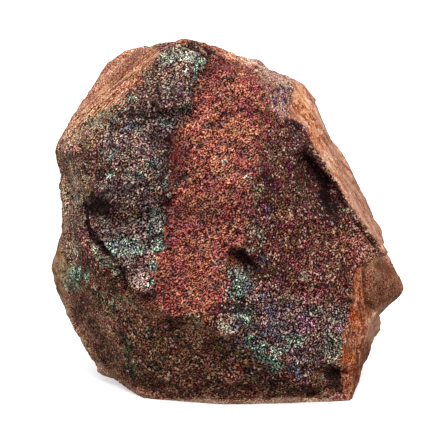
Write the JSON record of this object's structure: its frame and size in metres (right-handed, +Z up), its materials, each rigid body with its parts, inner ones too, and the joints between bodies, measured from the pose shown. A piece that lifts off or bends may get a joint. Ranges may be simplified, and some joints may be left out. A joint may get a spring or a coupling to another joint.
{
  "type": "chalcopyrite specimen",
  "caption": "Broken lump of massive copper-iron ore, rusty and dark with patches of blue-green peacock tarnish, standing on its flat base.",
  "frame": {"origin": "on the flat base, under the middle of the whole lump's box", "axes": "+X to the right of the rust-banded front along the lump's longest side, +Y away from that front, +Z up"},
  "size_m": [0.0712, 0.059, 0.0696],
  "materials": {
    "tarnished_ore": "rough broken sulphide ore: rusty brown and maroon with a dull metallic sparkle, and patches of mint, teal, blue and violet tarnish on the crust"
  },
  "bodies": {
    "root": {"chalcopyrite": "tarnished_ore"}
  },
  "joints": []
}
